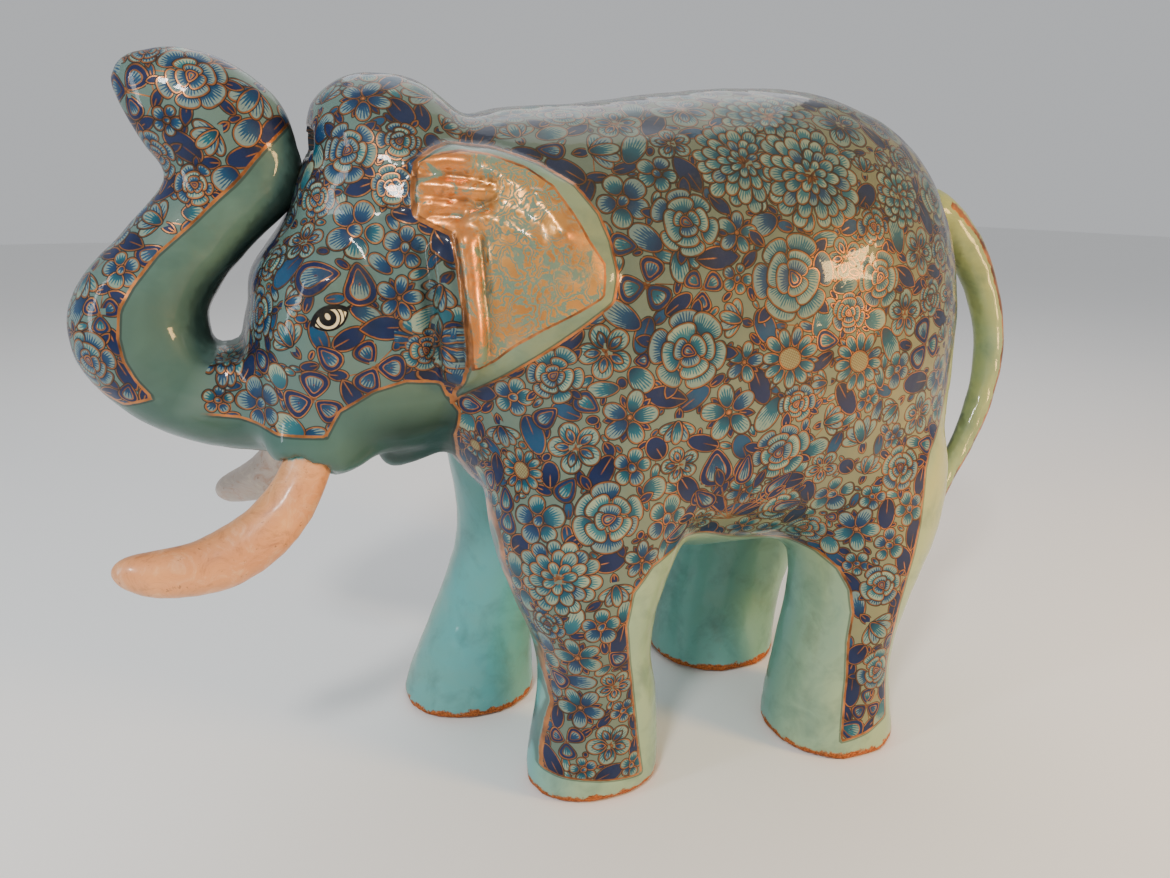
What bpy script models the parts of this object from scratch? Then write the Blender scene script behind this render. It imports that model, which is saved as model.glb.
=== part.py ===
"""A standing papier-mache elephant with its trunk raised, and two tusks that plug into its head.

Frame: metres, +Z up. The elephant faces -X and its left flank is towards -Y. The origin is on the floor,
under the middle of the whole figure's box.
"""

import math

import bmesh
import bpy
import numpy as np
from mathutils import Vector

# Driving size, in metres. The figure keeps its pose and proportions as shares of its height, so the
# stations below belong to a figure drawn 410 high.
FIGURE_HEIGHT = 0.410
DRAWN_HEIGHT = 410.0
UNIT = FIGURE_HEIGHT / DRAWN_HEIGHT

# The paper shell is one blended solid: fine cells, softened joints, then fewer faces.
BLEND_CELL = 2.7 * UNIT
BLEND_PASSES = 16
BLEND_SHARE = 0.5
JOINT_PASSES = 70
FACE_SHARE = 0.0362

# Clearance between a tusk and the socket that it sits in.
SOCKET_GAP = 0.0003

RING_POINTS = 28
TUSK_RING_POINTS = 18
STEPS_BETWEEN = 4

# The drawn figure's box is shifted by this much to put the origin under its middle.
CENTRING_X = 34.9
CENTRING_Y = 0.0

# Torso, from the chest to the rump: x, top z, bottom z, half width.
TORSO = [
    (-152, 318, 240, 30),
    (-144, 352, 216, 62),
    (-124, 379, 182, 88),
    (-98, 387, 158, 102),
    (-60, 390, 140, 111),
    (0, 398, 128, 116),
    (50, 402, 124, 117),
    (95, 398, 122, 112),
    (132, 385, 122, 99),
    (158, 366, 122, 82),
    (178, 337, 126, 62),
    (189, 306, 134, 40),
    (195, 270, 160, 20),
    (199, 245, 188, 9),
]
TORSO_SQUARENESS = 2.4

# Head, level rings from the jaw to the crown: front x, back x, z, half width.
HEAD = [
    (-206, -140, 208, 36),
    (-226, -130, 217, 50),
    (-239, -120, 236, 62),
    (-243, -108, 260, 71),
    (-241, -100, 286, 74),
    (-228, -96, 309, 72),
    (-213, -95, 323, 69),
    (-201, -95, 335, 66),
    (-197, -100, 352, 61),
    (-197, -112, 371, 53),
    (-194, -127, 387, 41),
    (-183, -141, 398, 25),
    (-171, -153, 402, 9),
]
HEAD_SQUARENESS = 2.5

# Trunk, from inside the face to the elbow under the tip: x, z, half thickness, half width.
TRUNK = [
    (-190, 246, 44, 46),
    (-215, 241, 37, 40),
    (-238, 241, 32, 35),
    (-261, 245, 29, 32),
    (-279, 259, 31, 32),
    (-288, 280, 32, 31),
    (-270, 308, 26, 28),
    (-251, 331, 24, 25),
    (-235, 349, 25, 25),
    (-229, 362, 23, 24),
]
# The leaf-shaped end of the trunk, folded forwards.
TRUNK_TIP = [
    (-220, 352, 18, 18),
    (-231, 365, 30, 25),
    (-249, 379, 31, 25),
    (-265, 390, 24, 20),
    (-277, 397, 14, 13),
    (-283, 401, 7, 7),
]

# Legs, level rings from below the floor up into the torso: x, y, z, half length, half width.
FRONT_LEFT = [
    (-65, -57, -12, 41, 32),
    (-65, -57, 0, 42, 33),
    (-65, -58, 12, 41, 34),
    (-64, -59, 40, 38, 34),
    (-64, -61, 68, 35, 35),
    (-68, -63, 95, 34, 38),
    (-71, -64, 120, 40, 43),
    (-70, -62, 150, 52, 47),
    (-64, -59, 190, 62, 50),
    (-58, -54, 250, 50, 50),
]
FRONT_RIGHT = [
    (-113, 62, -12, 46, 43),
    (-113, 62, 0, 47, 44),
    (-112, 62, 12, 45, 43),
    (-106, 62, 40, 39, 38),
    (-97, 62, 68, 36, 36),
    (-85, 63, 100, 35, 38),
    (-75, 64, 128, 40, 42),
    (-69, 62, 156, 50, 46),
    (-62, 59, 190, 60, 49),
    (-58, 54, 250, 50, 50),
]
HIND_LEFT = [
    (99, -66, -12, 41, 45),
    (99, -66, 0, 42, 45),
    (99, -66, 14, 41, 43),
    (99, -66, 45, 37, 39),
    (104, -66, 80, 34, 39),
    (112, -65, 115, 40, 42),
    (115, -61, 150, 55, 46),
    (111, -56, 190, 62, 48),
    (100, -48, 250, 52, 48),
]
HIND_RIGHT = [
    (80, 59, -12, 48, 50),
    (80, 59, 0, 49, 51),
    (81, 60, 14, 49, 48),
    (88, 62, 45, 50, 43),
    (99, 62, 80, 51, 41),
    (106, 62, 115, 52, 42),
    (107, 60, 150, 56, 46),
    (108, 56, 190, 60, 48),
    (100, 48, 250, 52, 48),
]
LEG_SQUARENESS = 2.1

# Tail, from the top of the rump to the left hind leg: x, z, half thickness, half width.
TAIL = [
    (164, 330, 13, 18),
    (190, 333, 15, 17),
    (212, 317, 14, 15),
    (229, 291, 13, 13),
    (239, 258, 11, 12),
    (236, 223, 10, 11),
    (222, 190, 10, 10),
    (201, 162, 9, 9),
    (184, 138, 9, 9),
    (168, 110, 9, 9),
    (154, 84, 6, 6),
]
TAIL_SWING = -66

# Upper lips that hold the tusks, and the jaw between them: centre and radii of each swelling.
LIP = ((-206, 38, 222), (30, 23, 22))
CHEEK = ((-172, 46, 246), (44, 24, 28))
# Bend of the trunk under its folded end.
ELBOW = ((-229, 0, 359), (25.5, 24, 20))
# Lower jaw in side view: x, z, half thickness, half width.
JAW = [
    (-126, 236, 30, 44),
    (-145, 220, 22, 38),
    (-158, 207, 15, 28),
    (-167, 198, 9, 17),
    (-172, 193, 5, 10),
]

# Ear: outline of its flat face and of the foot of its sloping edge, x and z in side view.
EAR_FACE = [
    (-153, 357), (-141, 360), (-125, 358), (-109, 351), (-98, 341), (-91, 330), (-84, 319), (-80, 307),
    (-82, 296), (-96, 288), (-111, 279), (-131, 266), (-140, 261), (-144, 274), (-145, 310), (-153, 335),
]
EAR_FOOT = [
    (-158, 361), (-139, 366), (-120, 364), (-102, 357), (-87, 347), (-78, 334), (-74, 321), (-72, 306),
    (-74, 293), (-86, 284), (-121, 259), (-133, 251), (-145, 241), (-150, 262), (-152, 300), (-159, 335),
]
# The ear's face stands this far out at its front edge and leans out towards the back and in at the top.
EAR_OUT = 83.0
EAR_LEAN_BACK = 0.37
EAR_LEAN_IN = 0.22
EAR_FRONT_X = -150.0
EAR_LOW_Z = 290.0

# Folds on each ear: start x and z, end x and z, half width, height. A negative height is a groove.
EAR_FOLDS = [
    (-139, 322, -137, 268, 6.5, 3.2),
    (-129, 316, -127, 274, 5.0, -1.6),
    (-152, 350, -124, 347, 4.6, -2.2),
    (-124, 341, -92, 325, 5.4, 2.8),
    (-92, 325, -88, 312, 5.0, 1.8),
    (-150, 336, -135, 334, 4.6, -2.2),
    (-122, 331, -104, 319, 5.0, 2.0),
    (-130, 338, -128, 335, 5.0, -2.4),
]
# Roll in front of each ear, hollow of the temple and brow above the eye, in the same way.
FACE_FOLDS = [
    (-157, 330, -159, 266, 9.0, 4.6),
    (-150, 322, -150, 266, 3.4, -1.5),
    (-184, 318, -180, 282, 13.0, -4.0),
    (-208, 306, -190, 308, 7.0, 2.0),
]

# Tusks: x, y out from the middle, z, radius, from the bottom of the socket to the tip.
TUSK_LEFT = [
    (-205, 40, 231, 12.0),
    (-211, 42, 219, 12.2),
    (-217, 45, 206, 12.6),
    (-226, 49, 192, 13.6),
    (-239, 54, 180, 14.6),
    (-256, 59, 172, 14.8),
    (-272, 64, 170, 13.4),
    (-287, 68, 172, 11.4),
    (-296, 70, 175, 9.2),
    (-302, 71, 177, 6.2),
    (-305, 72, 178, 2.4),
]
TUSK_RIGHT = [
    (-205, 40, 231, 12.0),
    (-211, 43, 219, 12.2),
    (-216, 47, 206, 12.6),
    (-221, 53, 192, 13.4),
    (-229, 60, 180, 13.8),
    (-239, 67, 171, 13.2),
    (-249, 74, 166, 11.4),
    (-257, 79, 163, 9.2),
    (-262, 83, 162, 6.2),
    (-265, 85, 162, 2.2),
]


def clear_scene():
    for thing in list(bpy.data.objects):
        bpy.data.objects.remove(thing)


def paint(name, colour, roughness, metallic=0.0):
    material = bpy.data.materials.new(name)
    material.use_nodes = True
    shader = material.node_tree.nodes["Principled BSDF"]
    shader.inputs["Base Color"].default_value = (*colour, 1.0)
    shader.inputs["Roughness"].default_value = roughness
    shader.inputs["Metallic"].default_value = metallic
    return material


def eased(stations, steps=STEPS_BETWEEN):
    """A smooth run of stations through the given ones, by a Catmull-Rom curve."""
    points = np.array(stations, float)
    padded = np.vstack([2 * points[0] - points[1], points, 2 * points[-1] - points[-2]])
    run = []
    for i in range(1, len(padded) - 2):
        before, start, end, after = padded[i - 1], padded[i], padded[i + 1], padded[i + 2]
        for t in np.linspace(0, 1, steps, endpoint=False):
            bend = 2 * before - 5 * start + 4 * end - after
            twist = 3 * start - before - 3 * end + after
            run.append(0.5 * (2 * start + (end - before) * t + bend * t**2 + twist * t**3))
    run.append(points[-1])
    return np.array(run)


def placed(x, y, z):
    return Vector(((x + CENTRING_X) * UNIT, (y + CENTRING_Y) * UNIT, z * UNIT))


def ring(centre, across, up, half_across, half_up, squareness=2.0, count=RING_POINTS):
    """Points of a superellipse round a centre. Squareness 2 is an ellipse."""
    points = []
    for k in range(count):
        angle = 2 * math.pi * k / count
        c, s = math.cos(angle), math.sin(angle)
        a = math.copysign(abs(c) ** (2 / squareness), c) * half_across * UNIT
        b = math.copysign(abs(s) ** (2 / squareness), s) * half_up * UNIT
        points.append(centre + Vector(across) * a + Vector(up) * b)
    return points


def loft(mesh, rings):
    """Adds a closed skin over the rings to the mesh."""
    loops = [[mesh.verts.new(p) for p in points] for points in rings]
    count = len(loops[0])
    for lower, upper in zip(loops, loops[1:]):
        for k in range(count):
            n = (k + 1) % count
            mesh.faces.new((lower[k], lower[n], upper[n], upper[k]))
    mesh.faces.new(list(reversed(loops[0])))
    mesh.faces.new(loops[-1])


def side_loft(mesh, stations, swing=0.0):
    """A form drawn in side view, whose rings stand square to its run. swing carries its end sideways."""
    run = eased(stations)
    along = np.gradient(run[:, :2], axis=0)
    along /= np.linalg.norm(along, axis=1)[:, None]
    rings = []
    for i, (x, z, half_up, half_across) in enumerate(run):
        y = swing * i / (len(run) - 1)
        up = (-along[i, 1], 0, along[i, 0])
        rings.append(ring(placed(x, y, z), (0, 1, 0), up, half_across, half_up))
    loft(mesh, rings)


def upright_loft(mesh, stations, squareness):
    """A form made of level rings."""
    rings = []
    for x, y, z, half_x, half_y in eased(stations):
        rings.append(ring(placed(x, y, z), (0, 1, 0), (1, 0, 0), half_y, half_x, squareness))
    loft(mesh, rings)


def swelling(mesh, centre, radii):
    made = bmesh.ops.create_uvsphere(mesh, u_segments=24, v_segments=16, radius=1.0)
    for v in made["verts"]:
        v.co = placed(*(centre[k] + v.co[k] * radii[k] for k in range(3)))


def add_torso(mesh):
    rings = []
    for x, top, low, half in eased(TORSO):
        centre = placed(x, 0, (top + low) / 2)
        rings.append(ring(centre, (0, 1, 0), (0, 0, 1), half, (top - low) / 2, TORSO_SQUARENESS))
    loft(mesh, rings)


def add_head(mesh):
    stations = [((front + back) / 2, 0, z, (back - front) / 2, half) for front, back, z, half in HEAD]
    upright_loft(mesh, stations, HEAD_SQUARENESS)
    side_loft(mesh, JAW)
    for side in (-1, 1):
        for (x, y, z), radii in (LIP, CHEEK):
            swelling(mesh, (x, side * y, z), radii)


def evaluated_copy(thing, name):
    """The object's mesh with its modifiers applied, as a new object. The first object is removed."""
    graph = bpy.context.evaluated_depsgraph_get()
    data = bpy.data.meshes.new_from_object(thing.evaluated_get(graph))
    data.name = name
    bpy.data.objects.remove(thing)
    copy = bpy.data.objects.new(name, data)
    bpy.context.scene.collection.objects.link(copy)
    return copy


def outline_distance(outline, x, z):
    """Distance from points to an outline in side view, positive inside it."""
    corners = np.array(outline, float)
    nearest = np.full(len(x), 1e9)
    inside = np.zeros(len(x), bool)
    for (x0, z0), (x1, z1) in zip(corners, np.roll(corners, -1, axis=0)):
        dx, dz = x1 - x0, z1 - z0
        t = np.clip(((x - x0) * dx + (z - z0) * dz) / (dx * dx + dz * dz), 0, 1)
        nearest = np.minimum(nearest, np.hypot(x - x0 - t * dx, z - z0 - t * dz))
        if dz:
            crosses = ((z0 > z) != (z1 > z)) & (x < dx * (z - z0) / dz + x0)
            inside ^= crosses
    return np.where(inside, nearest, -nearest)


def fold_height(folds, x, z):
    """Summed height of rounded folds at points in side view."""
    height = np.zeros(len(x))
    for x0, z0, x1, z1, half, rise in folds:
        dx, dz = x1 - x0, z1 - z0
        t = np.clip(((x - x0) * dx + (z - z0) * dz) / (dx * dx + dz * dz), 0, 1)
        gap = np.hypot(x - x0 - t * dx, z - z0 - t * dz) / half
        height += rise * np.exp(-gap * gap)
    return height


def carve_sides(thing):
    """Raises the ears from the sides of the neck and presses the folds into them and into the face."""
    data = thing.data
    co = np.empty(len(data.vertices) * 3)
    data.vertices.foreach_get("co", co)
    co = co.reshape(-1, 3)
    normal = np.empty(len(data.vertices) * 3)
    data.vertices.foreach_get("normal", normal)
    facing = np.abs(normal.reshape(-1, 3)[:, 1])
    x = co[:, 0] / UNIT - CENTRING_X
    y = co[:, 1] / UNIT - CENTRING_Y
    z = co[:, 2] / UNIT
    out = np.abs(y)
    flank = np.clip((out - 30) / 15, 0, 1) * np.clip(facing * 3, 0, 1)
    out = out + flank * fold_height(FACE_FOLDS, x, z)

    inner = outline_distance(EAR_FACE, x, z)
    outer = outline_distance(EAR_FOOT, x, z)
    rise = np.where(inner >= 0, 1.0, np.clip(outer / np.maximum(outer - inner, 1e-6), 0, 1))
    rise = np.sin(rise * math.pi / 2) * (np.abs(y) > 30)
    ear = EAR_OUT + EAR_LEAN_BACK * (x - EAR_FRONT_X) - EAR_LEAN_IN * np.maximum(z - EAR_LOW_Z, 0)
    ear = np.maximum(ear, out + 4) + fold_height(EAR_FOLDS, x, z)
    out = out * (1 - rise) + ear * rise
    co[:, 1] = (np.sign(y) * out + CENTRING_Y) * UNIT
    data.vertices.foreach_set("co", co.ravel())
    data.update()


def flank_weights(thing):
    """A vertex group over the joints where legs and cheeks flow into the figure's sides."""
    group = thing.vertex_groups.new(name="joints")
    for v in thing.data.vertices:
        x, y, z = v.co.x / UNIT - CENTRING_X, abs(v.co.y / UNIT - CENTRING_Y), v.co.z / UNIT
        weight = 0.0
        if x > -150 and y > 45:
            weight = min(max((z - 120) / 30, 0), max((265 - z) / 40, 0), (y - 45) / 20, 1)
            if x < -55:
                weight *= min(max((238 - z) / 15, 0), 1)
        elif x < -140 and y > 25:
            weight = min(max((z - 222) / 12, 0), max((284 - z) / 14, 0), (y - 25) / 15, 1)
        if weight > 0:
            group.add((v.index,), weight, "REPLACE")
    return group.name


def tusk_mesh(stations, side, gap, name):
    """A tusk swept along its stations. A gap of more than nothing makes the cutter for its socket."""
    run = eased(stations, 2)
    centres = [placed(x, side * y, z) for x, y, z, _ in run]
    rings = []
    for i, centre in enumerate(centres):
        along = (centres[min(i + 1, len(run) - 1)] - centres[max(i - 1, 0)]).normalized()
        across = along.cross(Vector((0, 0, 1))).normalized()
        up = across.cross(along)
        if i == 0:
            centre = centre - along * gap
        radius = run[i][3] + gap / UNIT
        rings.append(ring(centre, across, up, radius, radius, count=TUSK_RING_POINTS))
    mesh = bmesh.new()
    loft(mesh, rings)
    bmesh.ops.recalc_face_normals(mesh, faces=mesh.faces)
    data = bpy.data.meshes.new(name)
    mesh.to_mesh(data)
    mesh.free()
    thing = bpy.data.objects.new(name, data)
    bpy.context.scene.collection.objects.link(thing)
    return thing


def cut_away(thing, cutter, name):
    cut = thing.modifiers.new(name, "BOOLEAN")
    cut.operation = "DIFFERENCE"
    cut.solver = "EXACT"
    cut.object = cutter
    cutter.hide_render = True
    cutter.display_type = "WIRE"


def build_body():
    mesh = bmesh.new()
    add_torso(mesh)
    add_head(mesh)
    side_loft(mesh, TRUNK)
    side_loft(mesh, TRUNK_TIP)
    swelling(mesh, *ELBOW)
    for leg in (FRONT_LEFT, FRONT_RIGHT, HIND_LEFT, HIND_RIGHT):
        upright_loft(mesh, leg, LEG_SQUARENESS)
    side_loft(mesh, TAIL, TAIL_SWING)
    bmesh.ops.recalc_face_normals(mesh, faces=mesh.faces)
    data = bpy.data.meshes.new("blank")
    mesh.to_mesh(data)
    mesh.free()
    blank = bpy.data.objects.new("blank", data)
    bpy.context.scene.collection.objects.link(blank)
    blend = blank.modifiers.new("blend", "REMESH")
    blend.mode = "VOXEL"
    blend.voxel_size = BLEND_CELL
    soften = blank.modifiers.new("soften", "SMOOTH")
    soften.factor = BLEND_SHARE
    soften.iterations = BLEND_PASSES
    body = evaluated_copy(blank, "elephant")
    flow = body.modifiers.new("flowing_joints", "SMOOTH")
    flow.factor = BLEND_SHARE
    flow.iterations = JOINT_PASSES
    flow.vertex_group = flank_weights(body)
    body = evaluated_copy(body, "elephant")
    carve_sides(body)
    fewer = body.modifiers.new("fewer_faces", "DECIMATE")
    fewer.ratio = FACE_SHARE
    return body


def build_floor_cutter():
    """A block whose top is the floor, which leaves the soles flat."""
    bpy.ops.mesh.primitive_cube_add(size=1)
    block = bpy.context.object
    block.name = "floor_cutter"
    block.scale = (FIGURE_HEIGHT * 2, FIGURE_HEIGHT, FIGURE_HEIGHT / 4)
    block.location = (0, 0, -FIGURE_HEIGHT / 8)
    return block


def main():
    clear_scene()
    body = build_body()
    cut_away(body, build_floor_cutter(), "flat_soles")
    body.data.materials.append(paint("painted_paper", (0.25, 0.42, 0.40), 0.25))
    ivory = paint("tusk_paint", (0.78, 0.52, 0.30), 0.35)
    for name, stations, side in (("tusk_left", TUSK_LEFT, -1), ("tusk_right", TUSK_RIGHT, 1)):
        tusk = tusk_mesh(stations, side, 0.0, name)
        tusk.data.shade_smooth()
        tusk.data.materials.append(ivory)
        cut_away(body, tusk_mesh(stations, side, SOCKET_GAP, name + "_socket"), name + "_socket")


main()
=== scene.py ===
import math

import bpy
import numpy as np
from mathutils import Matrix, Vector, kdtree, noise
from mathutils.bvhtree import BVHTree


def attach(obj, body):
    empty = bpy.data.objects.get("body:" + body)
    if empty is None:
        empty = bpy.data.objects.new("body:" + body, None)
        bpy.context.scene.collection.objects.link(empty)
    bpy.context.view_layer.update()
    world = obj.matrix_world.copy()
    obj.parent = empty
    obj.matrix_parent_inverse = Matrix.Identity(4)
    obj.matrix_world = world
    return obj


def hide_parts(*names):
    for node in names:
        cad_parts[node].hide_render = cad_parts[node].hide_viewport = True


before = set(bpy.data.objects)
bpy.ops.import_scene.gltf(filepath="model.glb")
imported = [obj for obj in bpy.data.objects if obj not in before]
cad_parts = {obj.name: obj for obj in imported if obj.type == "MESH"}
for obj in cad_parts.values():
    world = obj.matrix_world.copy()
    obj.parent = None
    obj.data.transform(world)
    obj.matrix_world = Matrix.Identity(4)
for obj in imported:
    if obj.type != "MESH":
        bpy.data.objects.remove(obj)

MM = 0.001
SEED = 11
# Strokes that may lie over one another at one spot.
LAYERS = 5
# Cell of the even mesh in metres, and how often it is softened.
BODY_CELL, BODY_PASSES = 0.00284, 22
TUSK_CELL, TUSK_PASSES = 0.0011, 14
# Distance in mm from the middle plane past which the ears and eyes lie.
EAR_FROM_Y = 40
# Height in mm that the pattern stops at on the inner side of the legs, near flank and far flank.
INNER_TOP_NEAR, INNER_TOP_FAR = 140, 235
# The rump keeps a plain patch round the root of the tail: from this x on, this far from the tail.
TAIL_FROM_X, TAIL_PATCH = 222, 20
# Middle of the eye in side view, half its length and half its height.
EYE_X, EYE_Z, EYE_BOW, EYE_TALL = -165, 286.5, 8.9, 5.2

# Side view of the painted fields in millimetres, x and z, the same on both flanks.
BODY_FIELD = [
    (-224, 257), (-235, 239), (-209, 235), (-193, 229), (-171, 228), (-164, 241), (-148, 251), (-132, 255),
    (-115, 253), (-112, 246), (-105, 236), (-105, 220), (-100, 203), (-91, 188), (-86, 153), (-81, 133),
    (-72, 110), (-67, 100), (-63, 78), (-61, 65), (-66, 31), (-67, 21), (-48, 19), (-11, 14), (-22, 81),
    (-30, 121), (-27, 141), (-15, 154), (10, 161), (32, 157), (55, 148), (78, 142), (97, 138), (106, 135),
    (115, 126), (121, 113), (123, 98), (121, 78), (121, 56), (118, 14), (136, 18), (152, 23), (151, 60),
    (152, 99), (155, 121), (161, 154), (163, 186), (167, 196), (186, 216), (192, 245), (212, 283), (232, 314),
    (240, 335), (262, 352), (262, 450), (-150, 450), (-166, 404), (-163, 386), (-161, 374), (-160, 362),
    (-168, 350), (-172, 338), (-181, 326), (-194, 314), (-203, 302), (-211, 290), (-213, 280),
]
TRUNK_FIELD = [
    (-157, 404), (-158, 390), (-163, 382), (-174, 376), (-192, 358), (-202, 347), (-220, 330), (-238, 315),
    (-250, 301), (-257, 290), (-259, 277), (-258, 266), (-254, 256), (-248, 247), (-262, 243), (-278, 253),
    (-310, 262), (-310, 450), (-158, 450),
]
EAR_GOLD = [
    (-124, 344), (-121, 355), (-112, 360), (-101, 362), (-88, 360), (-73, 354), (-63, 346), (-58, 337),
    (-51, 322), (-44, 311), (-45, 296), (-57, 289), (-73, 281), (-84, 274), (-95, 265), (-104, 262),
    (-106, 275), (-107, 292), (-108, 310), (-109, 324), (-117, 328), (-124, 332),
]
EAR_EDGE = [
    (-124, 344), (-121, 357), (-112, 363), (-104, 366), (-85, 364), (-67, 357), (-52, 347), (-43, 334),
    (-39, 321), (-37, 306), (-39, 293), (-51, 284), (-86, 259), (-98, 251), (-110, 241), (-106, 262),
    (-106, 275), (-107, 292), (-108, 310), (-109, 324), (-117, 328), (-124, 332),
]
# Ridges and grooves of the ears and face in side view: from x, z to x, z, width, height.
FOLDS = [
    # wrinkles that run back from the root of the ear
    (-122, 357, -100, 357, 3.6, 1.5), (-124, 351, -108, 352, 3.0, -2.4), (-108, 352, -87, 347, 3.0, -2.8),
    (-120, 346, -92, 343, 4.2, 2.6), (-88, 351, -71, 341, 4.4, 2.4), (-71, 341, -62, 324, 4.4, 2.2),
    (-62, 324, -58, 306, 4.4, 1.2), (-112, 341, -100, 339, 3.0, -2.8), (-97, 336, -88, 341, 3.6, -3.0),
    (-122, 337, -103, 336, 3.2, 1.8), (-117, 333, -103, 332, 2.8, -2.4), (-97, 331, -92, 330, 5.0, 2.8),
    (-92, 332, -75, 322, 3.6, 2.4), (-75, 322, -66, 308, 3.6, 1.4), (-84, 338, -70, 328, 4.0, -1.8),
    # gilded roll and the painted roll in front of it, with their grooves
    (-103, 320, -101, 268, 8.0, 3.4), (-95.5, 322, -96, 264, 3.4, -2.8), (-108, 322, -106, 260, 3.0, -2.6),
    (-114.5, 315, -110.5, 258, 9.5, 5.2), (-122, 318, -118, 268, 6.5, -2.8),
    # cheek and brow
    (-138, 334, -124, 336, 5.0, -1.6), (-149, 318, -145, 282, 13.0, -2.0), (-175, 303, -153, 304, 4.5, 1.4),
]
# Middle of the gap between trunk and forehead in side view: z, x and how far it closes.
TRUNK_GAP = [
    (278, -213, 0), (290, -211, 0), (302, -203, 1), (314, -194, 5), (322, -185, 9), (330, -178, 13),
    (338, -172, 16), (346, -169, 15), (352, -166, 12), (358, -162, 8), (364, -160, 5), (370, -159, 5),
    (377, -162, 4), (386, -167, 3), (394, -170, 1), (402, -173, 0),
]
# Middle line of the tail: x, y, z.
TAIL_LINE = [
    (199, 0, 330), (225, -4, 333), (247, -11, 319), (264, -20, 291), (274, -26, 258), (272, -34, 223),
    (257, -42, 190), (236, -49, 162), (219, -55, 138), (203, -60, 110), (189, -64, 84),
]
# Where the trunk grows out of the face, in the middle plane: x, y, z.
TRUNK_ROOT = [(-213, 0, 284), (-226, 0, 256), (-236, 0, 240)]
# Flowers and eye-catchers that have their own place: x, z, side (-1 is the near flank), radius, kind.
LARGE = [
    # near flank, from the back down
    (72, 350, -1, 29, "mum"), (38, 357, -1, 26, "mum"), (62, 380, -1, 27, "mum"), (55, 302, -1, 23, "peony"),
    (54, 262, -1, 16, "sunflower"), (98, 256, -1, 16, "sunflower"), (-79, 207, -1, 12, "sunflower"),
    (-96, 216, -1, 10, "sunflower"), (-66, 152, -1, 21, "mum"), (-1, 268, -1, 20, "peony"),
    (-40, 184, -1, 19, "peony"), (38, 168, -1, 36, "tree"), (-30, 236, -1, 15, "star"),
    (22, 236, -1, 16, "star"), (110, 300, -1, 16, "peony"), (130, 340, -1, 17, "mum"),
    (150, 262, -1, 15, "trefoil"), (0, 330, -1, 17, "peony"), (-22, 300, -1, 14, "trefoil"),
    # face, forehead and trunk
    (-146, 262, -1, 14, "trefoil"), (-176, 247, -1, 15, "trefoil"), (-134, 296, -1, 11, "star"),
    (-150, 326, -1, 16, "cluster"), (-150, 362, -1, 15, "peony"), (-212, 262, -1, 14, "mum"),
    (-140, 386, -1, 13, "star"), (-215, 394, -1, 16, "peony"), (-242, 388, -1, 13, "trefoil"),
    (-255, 325, -1, 12, "peony"), (-150, 302, -1, 10, "teardrop"), (-170, 306, -1, 11, "teardrop"),
    (20, 205, -1, 12, "teardrop"),
    # far flank
    (60, 350, 1, 30, "mum"), (10, 320, 1, 22, "mum"), (90, 280, 1, 17, "sunflower"),
    (-40, 250, 1, 18, "peony"), (140, 320, 1, 17, "peony"), (-60, 160, 1, 18, "mum"),
    (30, 210, 1, 16, "trefoil"), (-155, 320, 1, 15, "cluster"),
]


def linear(r, g, b):
    """An 8-bit sRGB colour as linear values."""
    return tuple((c / 255 / 12.92) if c < 11 else ((c / 255 + 0.055) / 1.055) ** 2.4 for c in (r, g, b))


# --- meshes

def fine_copy(node, name, cell, passes):
    """The node's form again as an even, soft quad mesh."""
    thing = bpy.data.objects.new(name + "_raw", node.data.copy())
    bpy.context.scene.collection.objects.link(thing)
    grid = thing.modifiers.new("grid", "REMESH")
    grid.mode = "VOXEL"
    grid.voxel_size = cell
    soft = thing.modifiers.new("soft", "SMOOTH")
    soft.factor = 0.5
    soft.iterations = passes
    graph = bpy.context.evaluated_depsgraph_get()
    data = bpy.data.meshes.new_from_object(thing.evaluated_get(graph))
    bpy.data.objects.remove(thing)
    data.name = name
    data.materials.clear()
    data.shade_smooth()
    made = bpy.data.objects.new(name, data)
    bpy.context.scene.collection.objects.link(made)
    return made


def of_vertices(data, what):
    """The places ("co") or the normals ("normal") of the vertices."""
    values = np.empty(len(data.vertices) * 3)
    data.vertices.foreach_get(what, values)
    return values.reshape(-1, 3)


def set_vertices(data, co):
    """Move the vertices to these positions."""
    data.vertices.foreach_set("co", np.ascontiguousarray(co, dtype=np.float32).ravel())
    data.update()


def field_distance(x, z, outline):
    """Distance in mm to the outline, positive inside it."""
    pts = np.array(outline, float)
    best = np.full(x.shape, 1e9)
    inside = np.zeros(x.shape, bool)
    for (ax, az), (bx, bz) in zip(pts, np.roll(pts, -1, 0)):
        dx, dz = bx - ax, bz - az
        t = np.clip(((x - ax) * dx + (z - az) * dz) / (dx * dx + dz * dz + 1e-9), 0, 1)
        best = np.minimum(best, np.hypot(x - ax - t * dx, z - az - t * dz))
        crosses = (az > z) != (bz > z)
        inside ^= crosses & (x < ax + (z - az) * dx / (dz if abs(dz) > 1e-9 else 1e-9))
    return np.where(inside, best, -best)


def line_distance(p, line):
    """For each point the distance in mm to a chain of straight runs, how far along, and the nearest spot."""
    pts = np.array(line, float)
    best = np.full(len(p), 1e9)
    along = np.zeros(len(p))
    nearest = np.zeros_like(p)
    done = 0.0
    for a, b in zip(pts[:-1], pts[1:]):
        run = b - a
        t = np.clip((p - a) @ run / (run @ run), 0, 1)
        spot = a + t[:, None] * run
        d = np.linalg.norm(p - spot, axis=1)
        closer = d < best
        best[closer] = d[closer]
        along[closer] = done + t[closer] * np.linalg.norm(run)
        nearest[closer] = spot[closer]
        done += np.linalg.norm(run)
    return best, along, nearest


def lumps(co, size, seed):
    """Soft noise from -1 to 1, with features of about this size."""
    shift = Vector((seed * 3.1, seed * 1.7, seed * 0.9))
    return np.array([noise.noise(Vector(p) / size + shift) for p in co])


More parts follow.
